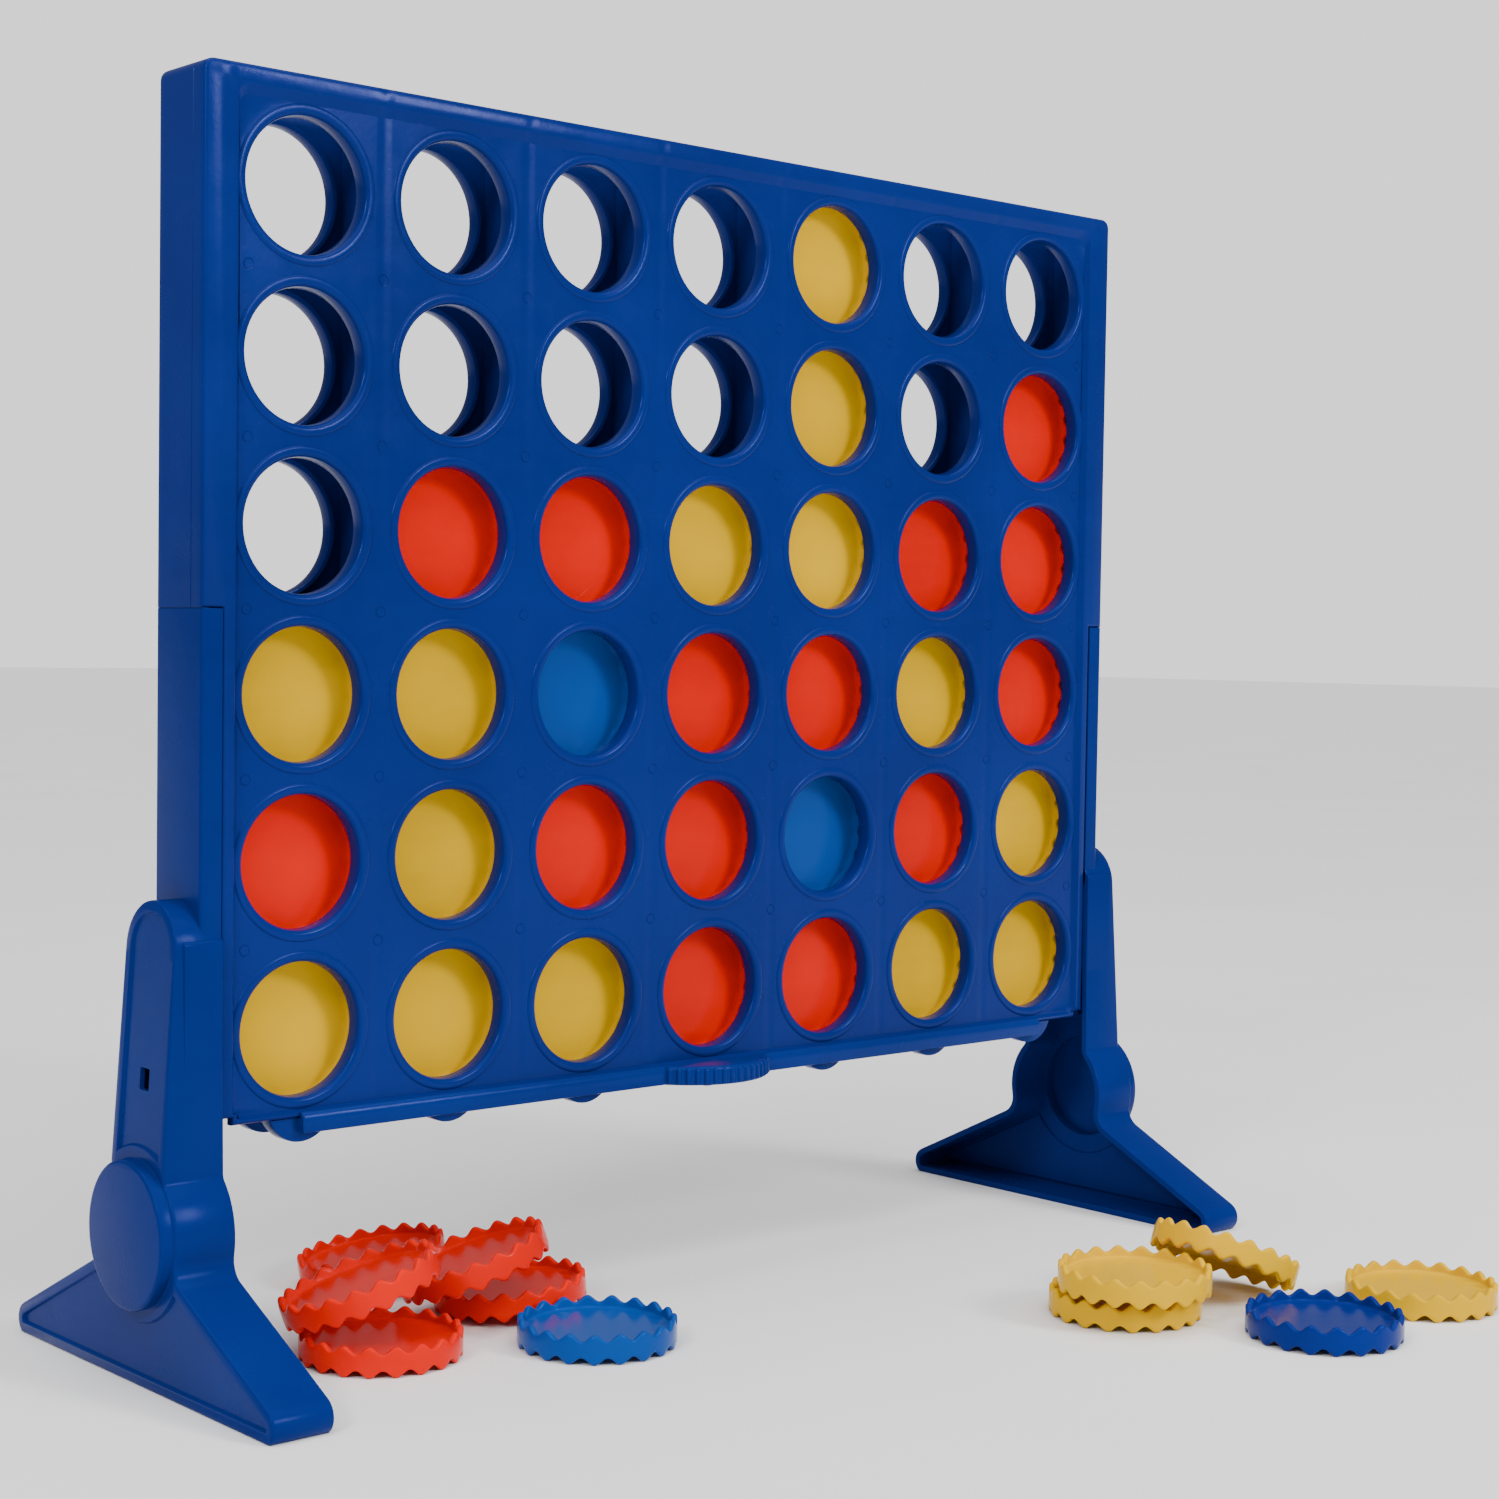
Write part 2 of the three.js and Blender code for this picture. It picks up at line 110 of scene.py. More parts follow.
HUB_Z, HUB_R, HUB_DISC_R = 66.0, 34.0, 32.6
LEG_FACE = LEG_HUB - 6.0
LEAN_FROM, LEAN = 95.0, 7.0
ARM_TOP, ARM_LOW_HALF, ARM_TOP_HALF = 210.0, 23.5, 21.6
WALL = 3.5

DISC_T, WAVES, WAVE_DEPTH = 14.0, 19, 3.3
WAVED_FROM, CALM_HALF, WEB_HALF, WAVE_STEPS = 32.0, 1.6, 1.25, 12
SHARP_EDGE = math.radians(35)


# ---- mesh helpers ----
class Skin:
    """Points and faces of one piece, in millimetres. Flat faces keep flat shading."""

    def __init__(self):
        self.points, self.faces, self.smooth = [], [], []

    def loop(self, points):
        start = len(self.points)
        self.points += [Vector(p) for p in points]
        return list(range(start, len(self.points)))

    def face(self, ids, smooth=False):
        self.faces.append(ids)
        self.smooth.append(smooth)

    def strip(self, a, b, smooth=True, closed=True):
        count = len(a)
        for i in range(count if closed else count - 1):
            j = (i + 1) % count
            self.face((a[i], a[j], b[j], b[i]), smooth)

    def stack(self, loops, smooth=True, closed=True):
        """Joins a list of point loops one after another and gives the first and last loop."""
        ids = [self.loop(points) for points in loops]
        for a, b in zip(ids, ids[1:]):
            self.strip(a, b, smooth, closed)
        return ids[0], ids[-1]

    def fill(self, outer, holes=()):
        rings = [outer, *holes]
        flat = [i for ring in rings for i in ring]
        for tri in geometry.tessellate_polygon([[self.points[i] for i in r] for r in rings]):
            self.face(tuple(flat[k] for k in tri))

    def prism(self, base, top, smooth=False):
        """A closed prism between two point loops of the same length."""
        a, b = self.loop(base), self.loop(top)
        self.strip(a, b, smooth)
        self.fill(a)
        self.fill(b)

    def block(self, low, high):
        (x0, y0, z0), (x1, y1, z1) = low, high
        base = [(x0, y0, z0), (x1, y0, z0), (x1, y1, z0), (x0, y1, z0)]
        self.prism(base, [(x, y, z1) for x, y, _ in base])

    def make(self, name, weld=0.002, bend=None):
        mesh = bpy.data.meshes.new(name)
        mesh.from_pydata([tuple(p) for p in self.points], [], self.faces)
        for polygon, smooth in zip(mesh.polygons, self.smooth):
            polygon.use_smooth = smooth
        bm = bmesh.new()
        bm.from_mesh(mesh)
        bmesh.ops.remove_doubles(bm, verts=bm.verts, dist=weld)
        if bend:
            bend(bm)
        if any(f.calc_area() < 1e-7 for f in bm.faces):
            bmesh.ops.dissolve_degenerate(bm, edges=bm.edges, dist=1e-4)
        bmesh.ops.recalc_face_normals(bm, faces=bm.faces)
        bm.to_mesh(mesh)
        bm.free()
        mesh.set_sharp_from_angle(angle=SHARP_EDGE)
        obj = bpy.data.objects.new(name, mesh)
        bpy.context.scene.collection.objects.link(obj)
        return obj


def finish_piece(obj, material, body, replaced):
    """Brings a piece to metres, gives it its material and ties it to its body."""
    obj.data.transform(Matrix.Scale(MM, 4))
    obj.data.materials.clear()
    obj.data.materials.append(material)
    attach(obj, body)
    if replaced:
        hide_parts(*replaced)
    return obj


def apply_modifiers(obj):
    """Turns an object's modifiers into one plain mesh."""
    graph = bpy.context.evaluated_depsgraph_get()
    mesh = bpy.data.meshes.new_from_object(obj.evaluated_get(graph))
    obj.modifiers.clear()
    obj.data = mesh
    return obj


def arc(cx, cy, radius, start, end, steps):
    return [
        (cx + radius * math.cos(start + (end - start) * i / steps),
         cy + radius * math.sin(start + (end - start) * i / steps))
        for i in range(steps + 1)
    ]


def offset(points, distance):
    """Moves a closed outline inwards; the outline runs anticlockwise."""
    moved = []
    count = len(points)
    for i, (x, y) in enumerate(points):
        (ax, ay), (bx, by) = points[i - 1], points[(i + 1) % count]
        d1 = Vector((x - ax, y - ay)).normalized()
        d2 = Vector((bx - x, by - y)).normalized()
        n1, n2 = Vector((-d1.y, d1.x)), Vector((-d2.y, d2.x))
        mitre = (n1 + n2) / (1 + n1.dot(n2))
        moved.append((x + mitre.x * distance, y + mitre.y * distance))
    return moved


# ---- geometry node trees ----
def new_tree(name, inputs):
    tree = bpy.data.node_groups.new(name, "GeometryNodeTree")
    tree.interface.new_socket("Geometry", in_out="INPUT", socket_type="NodeSocketGeometry")
    sockets = {}
    for label, kind, value in inputs:
        socket = tree.interface.new_socket(label, in_out="INPUT", socket_type=kind)
        if value is not None:
            socket.default_value = value
        sockets[label] = socket.identifier
    tree.interface.new_socket("Geometry", in_out="OUTPUT", socket_type="NodeSocketGeometry")
    return tree, sockets


class Tree:
    """Adds and links nodes in one geometry node tree."""

    def __init__(self, name, inputs):
        self.tree, self.sockets = new_tree(name, inputs)
        self.input = self.tree.nodes.new("NodeGroupInput")
        self.output = self.tree.nodes.new("NodeGroupOutput")

    def add(self, kind, values=None, **settings):
        node = self.tree.nodes.new(kind)
        for key, value in settings.items():
            setattr(node, key, value)
        for key, value in (values or {}).items():
            if hasattr(value, "is_output"):
                self.tree.links.new(value, node.inputs[key])
            else:
                node.inputs[key].default_value = value
        return node.outputs

    def math(self, operation, a, b=None):
        values = {0: a} if b is None else {0: a, 1: b}
        return self.add("ShaderNodeMath", values, operation=operation)[0]

    def end(self, geometry_socket):
        real = self.add("GeometryNodeRealizeInstances", {"Geometry": geometry_socket})[0]
        done = self.add(
            "GeometryNodeSetMaterial", {"Geometry": real, "Material": self.input.outputs["Material"]}
        )[0]
        self.tree.links.new(done, self.output.inputs["Geometry"])

    def put_on(self, obj, **values):
        modifier = obj.modifiers.new(self.tree.name, "NODES")
        modifier.node_group = self.tree
        for label, value in values.items():
            modifier[self.sockets[label]] = value
        return apply_modifiers(obj)


def window_tree():
    """Puts one window ring on every place of a grid and welds the rings to the plate."""
    t = Tree("window_grid", [
        ("Ring", "NodeSocketObject", None), ("Material", "NodeSocketMaterial", None),
        ("Columns", "NodeSocketInt", 7), ("Rows", "NodeSocketInt", 6),
        ("Width", "NodeSocketFloat", 1.0), ("Height", "NodeSocketFloat", 1.0),
        ("Middle", "NodeSocketVector", None), ("Weld", "NodeSocketFloat", 0.01),
    ])
    i = t.input.outputs
    grid = t.add("GeometryNodeMeshGrid", {
        "Size X": i["Width"], "Size Y": i["Height"],
        "Vertices X": i["Columns"], "Vertices Y": i["Rows"],
    })
    upright = t.add("GeometryNodeTransform", {
        "Geometry": grid["Mesh"], "Translation": i["Middle"], "Rotation": (math.pi / 2, 0, 0),
    })
    ring = t.add("GeometryNodeObjectInfo", {"Object": i["Ring"]})
    rings = t.add("GeometryNodeInstanceOnPoints", {
        "Points": upright[0], "Instance": ring["Geometry"],
    })
    real = t.add("GeometryNodeRealizeInstances", {"Geometry": rings[0]})
    joined = t.add("GeometryNodeJoinGeometry")
    join_node = joined[0].node
    t.tree.links.new(real[0], join_node.inputs[0])
    t.tree.links.new(i["Geometry"], join_node.inputs[0])
    welded = t.add("GeometryNodeMergeByDistance", {"Geometry": joined[0], "Distance": i["Weld"]})
    t.end(welded[0])
    return t


def wave_tree():
    """Waves both edges of a turned rim: high at a crest, low between crests."""
    t = Tree("waved_rim", [
        ("Material", "NodeSocketMaterial", None), ("Waves", "NodeSocketFloat", 19.0),
        ("Depth", "NodeSocketFloat", 3.3), ("Half", "NodeSocketFloat", 7.0),
        ("Rim", "NodeSocketFloat", 33.0), ("Calm", "NodeSocketFloat", 1.6),
    ])
    i = t.input.outputs
    place = t.add("GeometryNodeInputPosition")[0]
    parts = t.add("ShaderNodeSeparateXYZ", {0: place})
    angle = t.math("ARCTAN2", parts["Y"], parts["X"])
    swing = t.math("COSINE", t.math("MULTIPLY", angle, i["Waves"]))
    dip = t.math("MULTIPLY", t.math("SUBTRACT", 1.0, swing), 0.5)
    high = t.math("ABSOLUTE", parts["Z"])
    above = t.math("SUBTRACT", high, i["Calm"])
    share = t.math("MAXIMUM", t.math("DIVIDE", above, t.math("SUBTRACT", i["Half"], i["Calm"])), 0.0)
    radius = t.math("SQRT", t.math("ADD", t.math("MULTIPLY", parts["X"], parts["X"]),
                                   t.math("MULTIPLY", parts["Y"], parts["Y"])))
    on_rim = t.math("GREATER_THAN", radius, i["Rim"])
    drop = t.math("MULTIPLY", t.math("MULTIPLY", dip, i["Depth"]), t.math("MULTIPLY", share, on_rim))
    down = t.math("MULTIPLY", drop, t.math("MULTIPLY", t.math("SIGN", parts["Z"]), -1.0))
    move = t.add("ShaderNodeCombineXYZ", {"Z": down})
    moved = t.add("GeometryNodeSetPosition", {"Geometry": i["Geometry"], "Offset": move[0]})
    t.end(moved[0])
    return t


def ridge_tree():
    """Stands a rib at even steps along a curved grip, each turned to face outwards."""
    t = Tree("grip_ribs", [
        ("Rib", "NodeSocketObject", None), ("Material", "NodeSocketMaterial", None),
        ("Radius", "NodeSocketFloat", 40.0), ("Start", "NodeSocketFloat", 0.0),
        ("Sweep", "NodeSocketFloat", 1.0), ("Count", "NodeSocketInt", 15),
        ("Middle", "NodeSocketVector", None),
    ])
    i = t.input.outputs
    line = t.add("GeometryNodeMeshLine", {"Count": i["Count"], "Offset": (0, 0, 0)}, mode="OFFSET")
    index = t.add("GeometryNodeInputIndex")[0]
    last = t.math("SUBTRACT", i["Count"], 1.0)
    angle = t.math("ADD", i["Start"], t.math("MULTIPLY", i["Sweep"], t.math("DIVIDE", index, last)))
    x = t.math("MULTIPLY", t.math("COSINE", angle), i["Radius"])
    y = t.math("MULTIPLY", t.math("SINE", angle), i["Radius"])
    spot = t.add("ShaderNodeCombineXYZ", {"X": x, "Y": y})
    place = t.add("ShaderNodeVectorMath", {0: spot[0], 1: i["Middle"]}, operation="ADD")
    placed = t.add("GeometryNodeSetPosition", {"Geometry": line[0], "Position": place[0]})
    turn = t.add("ShaderNodeCombineXYZ", {"Z": angle})
    rib = t.add("GeometryNodeObjectInfo", {"Object": i["Rib"]})
    ribs = t.add("GeometryNodeInstanceOnPoints", {
        "Points": placed[0], "Instance": rib["Geometry"], "Rotation": turn[0],
    })
    real = t.add("GeometryNodeRealizeInstances", {"Geometry": ribs[0]})
    joined = t.add("GeometryNodeJoinGeometry")
    t.tree.links.new(real[0], joined[0].node.inputs[0])
    t.tree.links.new(i["Geometry"], joined[0].node.inputs[0])
    t.end(joined[0])
    return t


# ---- materials ----
class Finish:
    """Builds one node material for a moulded plastic."""

    def __init__(self, name):
        self.material = bpy.data.materials.new(name)
        self.material.use_nodes = True
        self.nodes = self.material.node_tree.nodes
        self.links = self.material.node_tree.links
        self.shader = self.nodes["Principled BSDF"]
        self.place = self.nodes.new("ShaderNodeTexCoord").outputs["Object"]

    def add(self, kind, values=None, **settings):
        node = self.nodes.new(kind)
        for key, value in settings.items():
            setattr(node, key, value)
        for key, value in (values or {}).items():
            if hasattr(value, "is_output"):
                self.links.new(value, node.inputs[key])
            else:
                node.inputs[key].default_value = value
        return node

    def noise(self, scale, detail=3.0, stretch=(1, 1, 1)):
        mapped = self.add("ShaderNodeMapping", {"Vector": self.place, "Scale": stretch})
        return self.add("ShaderNodeTexNoise", {
            "Vector": mapped.outputs[0], "Scale": scale, "Detail": detail,
        }).outputs["Fac"]

    def ramp(self, factor, stops):
        node = self.add("ShaderNodeValToRGB", {"Fac": factor})
        node.color_ramp.elements[0].position, node.color_ramp.elements[0].color = stops[0]
        node.color_ramp.elements[1].position, node.color_ramp.elements[1].color = stops[-1]
        for position, colour in stops[1:-1]:
            node.color_ramp.elements.new(position).color = colour
        return node.outputs["Color"]

    def scale(self, factor, low, high):
        return self.add("ShaderNodeMapRange", {
            "Value": factor, "From Min": 0.3, "From Max": 0.7, "To Min": low, "To Max": high,
        }).outputs["Result"]

    def bump(self, height, strength, distance, under=None):
        values = {"Height": height, "Strength": strength, "Distance": distance}
        if under is not None:
            values["Normal"] = under
        return self.add("ShaderNodeBump", values).outputs["Normal"]


def plastic(name, base, rough=(0.18, 0.30), flow=(1, 1, 6), gloss=0.2, ribs=False):
    """Glossy moulded plastic: cloudy colour, flow marks, a fine orange peel and light scuffs."""
    f = Finish(name)
    deep = tuple(c * 0.86 for c in base[:3]) + (1.0,)
    pale = tuple(min(c * 1.18 + 0.001, 1.0) for c in base[:3]) + (1.0,)
    cloud = f.noise(9.0, 4.0)
    colour = f.ramp(cloud, [(0.28, deep), (0.5, base), (0.74, pale)])
    streak = f.noise(26.0, 2.0, flow)
    marked = f.add("ShaderNodeMix", {
        "Factor": f.scale(streak, 0.0, 0.16), "A": colour, "B": pale,
    }, data_type="RGBA", blend_type="MIX")
    f.links.new(marked.outputs["Result"], f.shader.inputs["Base Color"])
    scuff = f.noise(60.0, 8.0)
    f.links.new(f.scale(scuff, *rough), f.shader.inputs["Roughness"])
    peel = f.bump(f.noise(420.0, 2.0), 0.10, 0.0004)
    sink = f.bump(f.noise(14.0, 2.0), 0.10, 0.004, peel)
    if ribs:
        sink = f.bump(sink_marks(f), 0.25, 0.0008, sink)
    f.links.new(sink, f.shader.inputs["Normal"])
    f.shader.inputs["Specular IOR Level"].default_value = gloss
    tint = [0.35 + 0.65 * c / max(base[:3]) for c in base[:3]]
    f.shader.inputs["Specular Tint"].default_value = (*tint, 1.0)
    return f


def sink_marks(f):
    """A shallow dip in the plate over each column divider behind it."""
    x = f.add("ShaderNodeSeparateXYZ", {0: f.place}).outputs["X"]
    half = PITCH_X * MM / 2
    from_divider = f.add("ShaderNodeMath", {0: x, 1: half}, operation="ADD").outputs[0]
    folded = f.add("ShaderNodeMath", {0: from_divider, 1: half}, operation="PINGPONG").outputs[0]
    near = f.add("ShaderNodeMapRange", {
        "Value": folded, "From Min": 0.0, "From Max": 0.0045, "To Min": 0.0, "To Max": 1.0,
    }, interpolation_type="SMOOTHSTEP")
    return near.outputs["Result"]


BLUE_FRAME = plastic("frame_blue_plastic", (0.0014, 0.013, 0.132, 1), gloss=0.16, ribs=True)
BLUE_FOOT = plastic("foot_blue_plastic", (0.0012, 0.014, 0.136, 1), gloss=0.07)
BLUE_SLIDER = plastic("slider_blue_plastic", (0.0013, 0.016, 0.146, 1), gloss=0.15)
RED_DISC = plastic("disc_red_plastic", (0.66, 0.005, 0.0002, 1), rough=(0.13, 0.24), gloss=0.10)
YELLOW_DISC = plastic("disc_yellow_plastic", (0.65, 0.37, 0.0, 1), rough=(0.15, 0.26), gloss=0.04)
BLUE_DISC = plastic("disc_blue_plastic", (0.0004, 0.050, 0.27, 1), rough=(0.13, 0.24), gloss=0.16)
NAVY_DISC = plastic("disc_navy_plastic", (0.0020, 0.016, 0.165, 1), rough=(0.15, 0.26), gloss=0.14)
DISC_FINISH = {"red": RED_DISC, "yellow": YELLOW_DISC, "blue": BLUE_DISC}
DARKER_DISC = "loose_disc_blue_b"


# ---- board panels ----
def rounded_rect(x0, x1, z0, z1, radius, steps=4):
    quarter = math.pi / 2
    return (
        arc(x1 - radius, z0 + radius, radius, -quarter, 0, steps)
        + arc(x1 - radius, z1 - radius, radius, 0, quarter, steps)
        + arc(x0 + radius, z1 - radius, radius, quarter, 2 * quarter, steps)
        + arc(x0 + radius, z0 + radius, radius, 2 * quarter, 3 * quarter, steps)
    )


CORNER = 5.0
NARROW = LEG_IN - 0.3
SKIRT_IN = BOARD_HALF - 3.4
SHELF = SHOULDER + 0.3


def corner_points():
    """The board's upper right corner, with a point where the side skirt's inner face meets it."""
    cx, cz = BOARD_HALF - CORNER, BOARD_TOP - CORNER
    meets = math.acos((SKIRT_IN - cx) / CORNER)
    angles = [0, 0.25, 0.5, 0.75, 1.0]
    first = [(cx + CORNER * math.cos(a * meets), cz + CORNER * math.sin(a * meets)) for a in angles]
    return first + [(cx, cz + CORNER)]


def board_outline():
    right = [(NOTCH_X, BOARD_LOW), (NOTCH_X, NOTCH_Z), (NARROW, NOTCH_Z), (NARROW, SHELF)]
    right += [(SKIRT_IN, SHELF), (BOARD_HALF, SHELF), *corner_points()]
    return right + [(-x, z) for x, z in reversed(right)]


def skirt_outline():
    return [(SKIRT_IN, SHELF), (BOARD_HALF, SHELF), *corner_points()[:-1]]


def circle(x, z, radius, steps=RING_STEPS):
    return [
        (x + radius * math.cos(2 * math.pi * k / steps), z + radius * math.sin(2 * math.pi * k / steps))
        for k in range(steps)
    ]


def column_x(i):
    return (i - (COLUMNS - 1) / 2) * PITCH_X


def row_z(k):
    return BOTTOM_ROW + k * PITCH_Z


def make_ring(side):
    """The raised bead and the short guide wall of one window, round the origin."""
    crown = (HOLE_R + 2.4, PLATE + BEAD - 0.1)
    profile = [
        (LIP_R, PLATE), (LIP_R - 0.2, PLATE + 0.3), (LIP_R - 0.6, PLATE + 0.6),
        (LIP_R - 1.2, PLATE + BEAD), crown,
    ]
    for k in range(1, 7):
        a = math.pi / 2 * k / 6
        profile.append((crown[0] - 2.2 * math.sin(a), crown[1] - 2.4 * (1 - math.cos(a))))
    profile += [
        (HOLE_R, PLATE - 3.0), (HOLE_R, RING_END + 0.6), (HOLE_R + 0.25, RING_END + 0.12),
        (HOLE_R + 0.8, RING_END), (RING_R - 0.7, RING_END), (RING_R - 0.2, RING_END + 0.15),
        (RING_R, RING_END + 0.7),
        (RING_R + 0.1, INNER - 0.8), (RING_R + 0.4, INNER - 0.2), (RING_R + 1.0, INNER),
    ]
    skin = Skin()
    skin.stack([[(x, side * depth, z) for x, z in circle(0, 0, r)] for r, depth in profile])
    return skin.make("window_ring")


def make_peg_mark(side):
    """The round mark that a moulding peg leaves in the plate, round the origin."""
    profile = [(PEG_R, PLATE), (PEG_R - 0.15, PLATE - 0.2)]
    profile += [(PEG_R - 0.5, PLATE - 0.22), (PEG_R - 0.65, PLATE + 0.05)]
    skin = Skin()
    loops = [[(x, side * depth, z) for x, z in circle(0, 0, r, PEG_STEPS)] for r, depth in profile]
    _, top = skin.stack(loops)
    skin.fill(top)
    return skin.make("peg_mark")


def peg_places():
    """Between every four windows, and beside the two borders."""
    across = [column_x(i) + PITCH_X / 2 for i in range(COLUMNS - 1)] + [-PEG_SIDE_X, PEG_SIDE_X]
    return [(x, row_z(k) + PITCH_Z / 2) for x in across for k in range(ROWS - 1)]


def panel_points(side, points, depth):
    """Lays an outline in X and Z at a distance from the board's middle plane."""
    return [(x, MID_Y + side * depth, z) for x, z in points]


def recess_loops(side):
    """The slope from the raised border down to the plate, widest along the top."""
    loops = []
    for share, rise in ((0.0, 0.0), (0.12, 0.06), (0.88, 0.92), (1.0, 1.0)):
        side_x = RECESS_HALF - SLOPE_SIDE / 2 + SLOPE_SIDE * share
        low_z = RECESS_LOW - SLOPE_LOW * share
        top_z = RECESS_TOP - RECESS_DROP + SLOPE_TOP * share
        outline = rounded_rect(-side_x, side_x, low_z, top_z, RECESS_CORNER + share)
        loops.append(panel_points(side, outline, PLATE + rise * (HALF_DEPTH - PLATE)))
    return loops


def border_loops(side):
    """The rounded outer edge of the panel, from its face back to the inner side."""
    outline = board_outline()
    rounds = [(1.8, 0.0), (1.25, 0.18), (0.6, 0.55), (0.15, 1.2), (0.0, 2.0), (0.0, HALF_DEPTH - INNER)]
    return [
        panel_points(side, offset(outline, e) if e else outline, HALF_DEPTH - back) for e, back in rounds
    ]


def inner_outline():
    right = [(NOTCH_X, BOARD_LOW), (NOTCH_X, NOTCH_Z), (NARROW, NOTCH_Z), (NARROW, SHELF)]
    right += [(SKIRT_IN, SHELF), *corner_points()[-2:]]
    return right + [(-x, z) for x, z in reversed(right)]


def add_skirt(skin, side, mirror, skirt_end):
    """The side wall of one panel, and the step that fills the board behind the post."""
    shape = [(mirror * x, z) for x, z in skirt_outline()]
    if mirror < 0:
        shape.reverse()
    _, end = skin.stack([
        panel_points(side, shape, INNER),
        panel_points(side, shape, skirt_end + SKIRT_ROUND),
        panel_points(side, offset(shape, SKIRT_ROUND), skirt_end),
    ])
    skin.fill(end)
    wing = sorted((mirror * (NARROW - 1.5), mirror * (SKIRT_IN - 0.2)))
    depths = sorted((MID_Y + side * (INNER + 0.01), MID_Y + side * (HALF_DEPTH - 3.4)))
    skin.block((wing[0], depths[0], NOTCH_Z + 0.05), (wing[1], depths[1], SHELF))


def add_details(panel, side, windows):
    """Stands the window rings and the peg marks in the holes left for them."""
    tall = (ROWS - 2) * PITCH_Z
    grids = [
        (make_ring(side), COLUMNS, ROWS, (COLUMNS - 1) * PITCH_X, (ROWS - 1) * PITCH_Z),
        (make_peg_mark(side), COLUMNS - 1, ROWS - 1, (COLUMNS - 2) * PITCH_X, tall),
        (make_peg_mark(side), 2, ROWS - 1, 2 * PEG_SIDE_X, tall),
    ]
    for detail, columns, rows, width, height in grids:
        windows.put_on(
            panel, Ring=detail, Material=BLUE_FRAME.material, Columns=columns, Rows=rows,
            Width=width, Height=height, Weld=0.02,
            Middle=(0.0, MID_Y, (row_z(0) + row_z(ROWS - 1)) / 2),
        )
        bpy.data.objects.remove(detail)


def make_panel(name, side, skirt_end, windows):
    """One face of the board: plate, recess, border, side walls and windows."""
    skin = Skin()
    places = [(column_x(i), row_z(k)) for i in range(COLUMNS) for k in range(ROWS)]
    low_ring, high_ring = skin.stack(recess_loops(side))
    holes = [skin.loop(panel_points(side, circle(x, z, LIP_R), PLATE)) for x, z in places]
    holes += [skin.loop(panel_points(side, circle(x, z, PEG_R, PEG_STEPS), PLATE)) for x, z in peg_places()]
    skin.fill(low_ring, holes)
    face_edge, _ = skin.stack(border_loops(side))
    skin.fill(face_edge, [high_ring])
    inner_edge = skin.loop(panel_points(side, inner_outline(), INNER))
    inner_holes = [skin.loop(panel_points(side, circle(x, z, RING_R + 1.0), INNER)) for x, z in places]
    skin.fill(inner_edge, inner_holes)
    for mirror in (1, -1):
        add_skirt(skin, side, mirror, skirt_end)
    panel = skin.make(name)
    add_details(panel, side, windows)
    tidy_normals(panel)
    return panel


def tidy_normals(obj):
    bm = bmesh.new()
    bm.from_mesh(obj.data)
    bmesh.ops.recalc_face_normals(bm, faces=bm.faces)
    bm.to_mesh(obj.data)
    bm.free()
    obj.data.set_sharp_from_angle(angle=SHARP_EDGE)


def make_end_wall(side):
    """The board's inner side wall, between the two panels."""
    skin = Skin()
    x0, x1 = sorted((side * (LEG_IN + 2.0), side * (SKIRT_IN - 0.2)))
    skin.block((x0, MID_Y - INNER + 0.3, BOARD_LOW + 0.3), (x1, MID_Y + INNER - 0.3, BOARD_TOP - 0.4))
    seam_x = sorted((side * (SKIRT_IN - 0.1), side * (BOARD_HALF - 0.5)))
    seam_y = HALF_DEPTH - 0.5
    skin.block((seam_x[0], MID_Y - seam_y, SHOULDER + 0.01), (seam_x[1], MID_Y + seam_y, SHELF - 0.01))
    return skin.make("end_wall")


# ---- feet ----
SLOPE = math.radians(26)
TIP_R, TIP_Z = 8.0, 6.7
HUB = Vector((0, HUB_Z))


def touch(point, along, out, circle_r, fillet):
    """Centre of a fillet that touches a line and the outside of the hub circle."""
    start = Vector(point) + Vector(out) * fillet - HUB
    step = Vector(along)
    b = start.dot(step)
    c = start.dot(start) - (circle_r + fillet) ** 2
    return start + step * (-b - math.sqrt(b * b - c)) + HUB, b


def short_arc(centre, radius, start, end, steps):
    turn = (end - start + math.pi) % (2 * math.pi) - math.pi
    return arc(centre[0], centre[1], radius, start, start + turn, steps)


